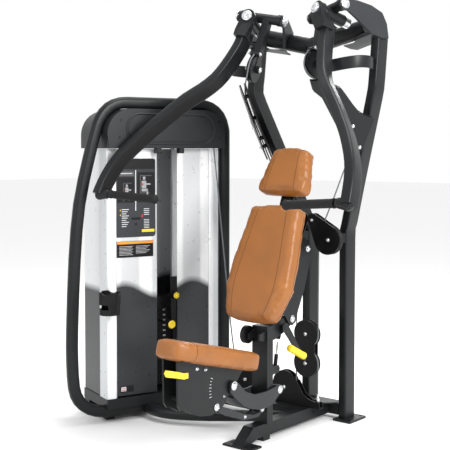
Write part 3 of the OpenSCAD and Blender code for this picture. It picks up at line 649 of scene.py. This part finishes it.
def build_cables():
    cable_piece("arm_cable_under_float", arc(0, 382, -180, 0, 24), "floating_pulley", "arm_cable")
    for side, name in ((1, "left"), (-1, "right")):
        up = line(mm(side * WHEEL_R, PULLEY_Y, 787), mm(side * WHEEL_R, PULLEY_Y, 382), 24)
        cable_span("arm_cable_drop_" + name, up)
        over = [flip(p, side) for p in arc(110, 787, 180, 157, 5)[:-1] + catmull(GUIDE_ROUTE, 4)]
        cable_piece("arm_cable_guide_run_" + name, over, FRAME)
        cable_span("arm_cable_cam_span_" + name, [flip(p, side) for p in catmull(CAM_SPAN, 5)])
        cable_piece("arm_cable_cam_wrap_" + name, [flip(p, side) for p in catmull(CAM_WRAP, 5)], "rocker_" + name)

    cable_piece("stack_cable_over_float", arc(0, 257, 180, 0, 24), "floating_pulley", "stack_cable")
    cable_span("stack_cable_rise", line(mm(-WHEEL_R, PULLEY_Y, 138), mm(-WHEEL_R, PULLEY_Y, 257), 16))
    cable_span("stack_cable_anchor_span", line(mm(WHEEL_R, PULLEY_Y, 109), mm(WHEEL_R, PULLEY_Y, 257), 16))
    floor_run = arc(-110, 138, 0, -90, 8) + arc(-324, 138, 270, 180, 8)
    slant = [mm(*p) for p in ((-384, 306, 220), (-394, 291, 345), (-406, 272, 560), (-418, 253, 780), (-430, 234, 1010),
        (-443, 214, 1230))]
    top = [Vector((*STACK_XY, 1.229)), Vector((-0.443, 0.214, 1.229))]
    way = (top[1] - top[0]).normalized()
    span = (top[1] - top[0]).length
    r = WHEEL_R * MM
    turn_out = [top[0] + way * (span - r + r * math.sin(w)) + Vector((0, 0, r * math.cos(w)))
        for w in (math.radians(15 * k) for k in (5, 4, 3, 2, 1, 0))]
    turn_in = [top[0] + way * (r - r * math.cos(w)) + Vector((0, 0, r * math.sin(w)))
        for w in (math.radians(15 * k) for k in (6, 5, 4, 3, 2, 1, 0))]
    cable_piece("stack_cable_run", floor_run + catmull(slant, 4) + turn_out + turn_in, FRAME)
    cable_span("stack_cable_lift", line(top[0], Vector((*STACK_XY, 0.606)), 24))
    anchor = bmesh.new()
    at = mm(WHEEL_R, PULLEY_Y, 100)
    lathe_bm(anchor, at, (0, 0, 1), [(0, -0.002), (0.0075, -0.002), (0.0085, 0), (0.0085, 0.012), (0.005, 0.015),
        (0.005, 0.028), (0.0035, 0.032), (0, 0.032)], 20)
    place(from_bmesh("cable_end_fitting", anchor, "zinc", 40), "zinc", FRAME)


# ------------------------------------------------------------------ fittings and trim
def press_matrix(roll=0.0):
    turn = Matrix.Rotation(math.radians(-16), 4, "Z") @ Matrix.Rotation(math.radians(-10), 4, "Y")
    return Matrix.Translation(mm(165, 205, 1711)) @ turn @ Matrix.Rotation(math.radians(roll), 4, "X")


GUIDE = (Matrix.Translation(mm(217, 309, 1158)) @ Matrix.Rotation(math.radians(-130.5), 4, "Z")
    @ Matrix.Rotation(math.radians(-22.25), 4, "X"))


def mirrored(points):
    return [(Vector((-p.x, p.y, p.z)), Vector((-a.x, a.y, a.z)), r) for p, a, r in points]


def both(points):
    return points + mirrored(points)


def build_bolts():
    cowl = press_matrix()
    arm = press_matrix(-18)
    along = (cowl.to_3x3() @ Vector((1, 0, 0)))
    swing = arm.to_3x3() @ Vector((0, -1, 0))
    press = [(cowl @ mm(108, 0, 0), along, 19), (cowl @ mm(-108, 0, 0), -along, 19)]
    side = GUIDE.to_3x3() @ Vector((0, 1, 0))
    press += [(GUIDE @ mm(14, 13, 109), side, 8), (GUIDE @ mm(-25, 13, 18), side, 8)]
    front = Vector((0, -1, 0))
    press += [(mm(110, 300, 787), front, 9), (mm(30, 300, 866), front, 7)]
    fixed = both(press)
    for x, z in ((-110, 138), (-324, 138)):
        fixed.append((mm(x, 300, z), front, 9))
    fixed += both([(mm(49.8, 51, 200), Vector((1, 0, 0)), 16), (mm(27.2, -38, 134), Vector((1, 0, 0)), 11)])
    bolts("frame_bolts", FRAME, fixed)
    bolts("float_bolts", "floating_pulley", [(mm(0, 300, 382), front, 8), (mm(0, 300, 257), front, 8)])
    for sgn, name in ((1, "left"), (-1, "right")):
        head = [(arm @ mm(30, -86, -30), swing, 22)]
        cam = [(arm @ mm(-8, -26, -168), along, 8), (arm @ mm(0, 4, -225), along, 12),
            (arm @ mm(-50, -26, -168), -along, 8), (arm @ mm(-56, 4, -225), -along, 12)]
        bolts("swing_bolt_" + name, "arm_" + name, head if sgn > 0 else mirrored(head))
        bolts("cam_bolt_" + name, "rocker_" + name, cam if sgn > 0 else mirrored(cam))
    x_out = Vector((1, 0, 0))
    bolts("link_bolts", "seat_upper_link", both([(mm(49.8, -243, 269), x_out, 17)]))
    bolts("lower_link_bolts", "seat_lower_link", both([(mm(38, -332, 203), x_out, 14), (mm(27, -149, 127), x_out, 7)]))
    bolts("carriage_bolts", "seat_carriage", both([(mm(37, -444, 366), x_out, 7), (mm(37, -396, 356), x_out, 7),
        (mm(37, -290, 236), x_out, 5)]))
    bolts("pad_bolts", "back_rest", both([(mm(39, 149, 471), x_out, 15), (mm(39, 258, 750), x_out, 14)]))


def build_marks():
    """Index marks on the seat carriage: short strokes along an arc about the upper link's pin."""
    bm = bmesh.new()
    for k in range(7):
        w = math.radians(158 + 5.4 * k)
        mid = mm(37.3, -243 + 125 * math.cos(w), 269 + 125 * math.sin(w))
        half = 0.0060 if k % 3 == 0 else 0.0045
        box_bm(bm, (-0.0003, -half, -0.0009), (0.0004, half, 0.0009),
            Matrix.Translation(mid) @ Matrix.Rotation(w, 4, "X"))
    place(from_bmesh("seat_index_marks", bm, "print_light", 30), "placard_black", "seat_carriage")


def build_knobs():
    out = TOWER.to_3x3() @ Vector((0, -1, 0))
    bm = bmesh.new()
    lathe_bm(bm, tower_point(290, 0, 404), out, [(0, -0.148), (0.005, -0.148), (0.005, 0), (0.011, 0), (0.012, 0.002),
        (0.012, 0.016), (0.018, 0.021), (0.0192, 0.024), (0.0192, 0.034), (0.0178, 0.036), (0, 0.036)])
    place(from_bmesh("selector_knob", bm, "guard", 40), "yellow_plastic", "selector_pin", "selector_pin")
    bm = bmesh.new()
    lathe_bm(bm, tower_point(290, -35.8, 404), out, [(0, 0), (0.0172, 0), (0.0172, 0.001), (0.0162, 0.0022),
        (0.006, 0.0024), (0.005, 0.0016), (0, 0.0016)])
    place(from_bmesh("selector_cap", bm, "yellow", 40), "yellow_plastic", "selector_pin")
    bm = bmesh.new()
    lathe_bm(bm, tower_point(322, 6, 526), out, [(0, -0.040), (0.006, -0.040), (0.006, 0), (0.015, 0), (0.0168, 0.003),
        (0.0168, 0.022), (0.0158, 0.0246), (0.0135, 0.025), (0, 0.025)])
    place(from_bmesh("increment_knob_body", bm, "guard", 40), "yellow_plastic", "increment_knob", "increment_knob")
    bm = bmesh.new()
    lathe_bm(bm, tower_point(322, -18.9, 526), out, [(0, 0), (0.0132, 0), (0.0132, 0.0008), (0.012, 0.0014), (0, 0.0014)])
    place(from_bmesh("increment_knob_cap", bm, "yellow", 40), "yellow_plastic", "increment_knob")
    bm = bmesh.new()
    for k in range(6):
        w = math.radians(60 * k)
        at = tower_point(322 + 8.5 * math.cos(w), -20.2, 526 + 8.5 * math.sin(w))
        lathe_bm(bm, at, out, [(0, 0), (0.0021, 0), (0.0021, 0.0004), (0, 0.0004)], 12)
    place(from_bmesh("increment_knob_dots", bm, "guard", 40), "yellow_plastic", "increment_knob")
    bm = bmesh.new()
    outline = [(312, 404), (322, 396), (333, 404), (338, 560), (338, 606), (306, 606), (306, 560)]
    near = [bm.verts.new(tower_point(a, 9, z)) for a, z in outline]
    far = [bm.verts.new(tower_point(a, 12, z)) for a, z in outline]
    bm.faces.new(near)
    bm.faces.new(far)
    for k in range(len(outline)):
        j = (k + 1) % len(outline)
        bm.faces.new((near[k], near[j], far[j], far[k]))
    place(from_bmesh("increment_bracket", bm, "guard", 30), "guard_black", FRAME)


def build_lanyard():
    """Coiled lanyard from the head of the stack to the selector knob."""
    path = []
    turns, count = 12, 200
    a, b = mm(314, 84, 476), mm(296, -16, 414)
    for k in range(count + 1):
        t = k / count
        base = a.lerp(b, t) + mm(0, 0, -26 * math.sin(math.pi * t))
        w = 2 * math.pi * turns * t
        path.append(TOWER @ (base + mm(4 * math.cos(w), 0, 4 * math.sin(w))))
    obj = tube("pin_lanyard", path, 0.0012, "guard", 8)
    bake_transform(obj)


def build_grips():
    ends = (mm(322, -286, 964), mm(562, -318, 980))
    way = (ends[1] - ends[0]).normalized()
    for sgn, name in ((1, "left"), (-1, "right")):
        bm = bmesh.new()
        axis = flip(way, sgn)
        profile = [(0, -0.013), (0.013, -0.013), (0.017, -0.010), (0.0185, -0.006), (0.0185, 0.001), (0.0165, 0.003)]
        ribs = 30
        for k in range(ribs):
            s = 0.008 + 0.2 * k / ribs
            profile += [(0.0163, s), (0.0163, s + 0.0042), (0.0157, s + 0.005), (0.0157, s + 0.0062)]
        profile += [(0.0163, 0.212), (0.0178, 0.214), (0.0178, 0.220), (0.016, 0.222), (0, 0.222)]
        lathe_bm(bm, flip(ends[0], sgn), axis, profile, 40)
        place(from_bmesh("grip_sleeve_" + name, bm, "rubber", 40), "grip_rubber", "arm_" + name, "hand_grip_" + name)


def build_range_grip():
    bm = bmesh.new()
    a, b = mm(66, 192, 315), mm(66, 94, 363)
    way = (b - a).normalized()
    n = (b - a).length
    lathe_bm(bm, a, way, [(0, -0.004), (0.012, -0.004), (0.0152, 0), (0.0158, 0.006), (0.0150, 0.02), (0.0150, n - 0.02),
        (0.0156, n - 0.006), (0.0145, n), (0.010, n + 0.004), (0, n + 0.004)], 32)
    place(from_bmesh("range_lever_grip", bm, "yellow", 50), "yellow_plastic", "range_lever")


def rounded_strip(bm, a0, a1, z0, z1, d, thick, r):
    """Thin plate with round corners on the tower's front."""
    outline = []
    for ca, cz, start in ((a1 - r, z0 + r, -90), (a1 - r, z1 - r, 0), (a0 + r, z1 - r, 90), (a0 + r, z0 + r, 180)):
        for k in range(7):
            w = math.radians(start + 15 * k)
            outline.append((ca + r * math.cos(w), cz + r * math.sin(w)))
    near = [bm.verts.new(tower_point(a, d - thick, z)) for a, z in outline]
    far = [bm.verts.new(tower_point(a, d, z)) for a, z in outline]
    bm.faces.new(near)
    bm.faces.new(far)
    n = len(outline)
    for k in range(n):
        bm.faces.new((near[k], near[(k + 1) % n], far[(k + 1) % n], far[k]))


def graphic(name, look, boxes, d=4.55):
    """Printed shapes: (a0, a1, z0, z1) boxes a hair proud of the placard."""
    bm = bmesh.new()
    for a0, a1, z0, z1 in boxes:
        rounded_strip(bm, a0, a1, z0, z1, d, 0.35, min(2.0, (a1 - a0) / 2.2, (z1 - z0) / 2.2))
    place(from_bmesh(name, bm, look, 30), "placard_black", FRAME)


def build_placard():
    """The exercise placard and the label below it, as printed shapes with no wording."""
    lines = [(72, 106 - 6 * (k % 3), 905 - 9 * k, 908 - 9 * k) for k in range(9)]
    lines += [(176, 202, 906 - 8 * k, 909 - 8 * k) for k in range(4)]
    lines += [(176, 202, 860 - 7 * k, 862.5 - 7 * k) for k in range(6)]
    graphic("placard_header", "print_dark", [(45, 230, 1078, 1121)])
    graphic("placard_photos", "print_dark", [(52, 130, 936, 1044), (146, 228, 936, 1064)], 4.5)
    graphic("placard_tabs", "print_grey", [(52, 130, 1049, 1068)], 4.5)
    graphic("placard_rule", "print_light", [(136, 140, 900, 1074)] + lines + [(66, 122, 1058, 1061)], 4.1)
    person = [(172, 184, 1032, 1046), (166, 188, 996, 1028), (188, 208, 1010, 1017), (166, 196, 982, 994),
        (190, 197, 952, 990), (190, 206, 947, 952)]
    person += [(92, 101, 1002, 1013), (88, 104, 976, 1000), (102, 117, 986, 992), (88, 110, 966, 975),
        (105, 111, 944, 972)]
    graphic("placard_figures", "print_pale", person, 4.1)
    machine = [(158, 162, 940, 1054), (158, 214, 1048, 1052), (160, 204, 974, 978), (80, 83, 940, 1020),
        (80, 120, 1017, 1020), (80, 112, 960, 963)]
    graphic("placard_machines", "print_grey", machine, 4.3)
    graphic("placard_red", "print_red", [(168, 174, 1008, 1018), (90, 94, 984, 992), (164, 172, 872, 884)], 3.9)
    graphic("placard_flash", "yellow", [(166, 226, 808, 820), (64, 68, 900, 906), (64, 68, 880, 886)], 4.0)
    graphic("placard_button", "print_dark", [(118, 160, 862, 872), (134, 144, 838, 848)], 4.1)
    graphic("label_band", "print_orange", [(51, 220, 759, 770)], 4.5)
    graphic("label_body", "print_dark", [(51, 220, 703, 758)], 4.5)
    text = [(60, 125 - 7 * (k % 2), 748 - 6 * k, 749.6 - 6 * k) for k in range(7)]
    text += [(138, 205 - 9 * (k % 3), 748 - 6 * k, 749.6 - 6 * k) for k in range(6)]
    graphic("label_lines", "print_light", text, 4.1)
    graphic("badge", "print_dark", [(62, 128, 122, 150)], 8.0)
    graphic("badge_mark", "print_light", [(68, 92, 127, 145)], 7.6)
    graphic("badge_stripe", "print_red", [(70, 90, 130, 133), (70, 90, 137, 140)], 7.2)


def build_plate_marks():
    """Weight marks each side of the pin holes: short bars on every plate."""
    for name, body, rows in (("resting", FRAME, range(0, 12)), ("lifted", "lifted_stack", range(12, 15))):
        bars, holes = bmesh.new(), bmesh.new()
        for k in rows:
            z = 117 + 23 * k + 11
            for a in (262, 308):
                tower_box(bars, a, a + 5, 84.4, 85.2, z - 4, z + 4)
                tower_box(bars, a + 7, a + 12, 84.4, 85.2, z - 4, z + 4)
            # Each pin hole is a rim round a dark disc; the disc is painted shade standing in for the open hole.
            lathe_bm(holes, tower_point(290, 85.1, z), TOWER.to_3x3() @ Vector((0, -1, 0)),
                [(0, 0), (0.0075, 0), (0.0075, 0.0012), (0.006, 0.0014), (0.0055, 0.0002), (0, 0.0002)], 20)
        place(from_bmesh("plate_marks_" + name, bars, "print_light", 30), "placard_black", body)
        place(from_bmesh("plate_holes_" + name, holes, "guard", 40), "plate_iron", body)


def shroud_outline(inset):
    """Outline of the shroud's front, open at the foot: (a, z) points from the lower left to the lower right."""
    r = 110 - inset
    points = [(-10 + inset, 1167)]
    for ca, start in ((100, 180), (448, 90)):
        points += [(ca + r * math.cos(math.radians(start - 6 * k)), 1223 + r * math.sin(math.radians(start - 6 * k)))
            for k in range(16)]
    return points + [(558 - inset, 1167)]


def build_shroud():
    """Hollow shroud with softened front edges, and the two tabs beside the slot."""
    bm = bmesh.new()
    skins = []
    for inset, d0, d1 in ((0, -38, 250), (6, -32, 244)):
        outline = shroud_outline(inset)
        near = [bm.verts.new(tower_point(a, d0, z)) for a, z in outline]
        far = [bm.verts.new(tower_point(a, d1, z)) for a, z in outline]
        bm.faces.new(near)
        bm.faces.new(far)
        for k in range(len(outline) - 1):
            bm.faces.new((near[k], near[k + 1], far[k + 1], far[k]))
        skins.append((near, far))
    (near, far), (inner_near, inner_far) = skins
    rim = [near[0], near[-1], far[-1], far[0]]
    inner_rim = [inner_near[0], inner_near[-1], inner_far[-1], inner_far[0]]
    for k in range(4):
        j = (k + 1) % 4
        bm.faces.new((rim[k], rim[j], inner_rim[j], inner_rim[k]))
    edge = [bm.edges.get((near[k], near[k + 1])) for k in range(len(near) - 1)]
    bmesh.ops.bevel(bm, geom=edge, offset=0.007, segments=4, profile=0.5, affect="EDGES")
    for a in (218, 328):
        tower_box(bm, a, a + 24, -37.6, -8, 1145, 1170, 0.002)
    place(from_bmesh("shroud_shell", bm, "shroud", 40), "shroud_black", FRAME, "top_shroud")


def build_shroud_trim():
    """Sunk capsule on the shroud's face, drawn by its rounded rim and a slightly proud middle, and four screws."""
    z0, z1, a0, a1 = 1186, 1312, 78, 500
    r = (z1 - z0) / 2
    path = []
    for ca, start in ((a1 - r, -90), (a0 + r, 90)):
        for k in range(25):
            w = math.radians(start + 7.5 * k)
            path.append(tower_point(ca + r * math.cos(w), -37.6, z0 + r + r * math.sin(w)))
    path.append(path[0])
    place(tube("shroud_capsule_bead", path, 0.0042, "shroud", 10), "shroud_black", FRAME)
    bm = bmesh.new()
    rounded_strip(bm, a0 + 9, a1 - 9, z0 + 9, z1 - 9, -38, 2.4, r - 9.5)
    place(from_bmesh("shroud_inset", bm, "shroud", 40), "shroud_black", FRAME)
    bm = bmesh.new()
    out = TOWER.to_3x3() @ Vector((0, -1, 0))
    for a, z in ((52, 1284), (44, 1212), (526, 1284), (530, 1212)):
        lathe_bm(bm, tower_point(a, -38, z), out, [(0, 0), (0.0055, 0), (0.0055, 0.0008), (0.003, 0.001), (0, 0.0004)], 16)
    place(from_bmesh("shroud_screws", bm, "guard", 40), "shroud_black", FRAME)


def build():
    make_materials()
    camera()
    studio()
    dress_nodes()
    build_cushions()
    build_cables()
    build_bolts()
    build_marks()
    build_knobs()
    build_lanyard()
    build_grips()
    build_range_grip()
    build_placard()
    build_plate_marks()
    build_shroud()
    build_shroud_trim()


build()
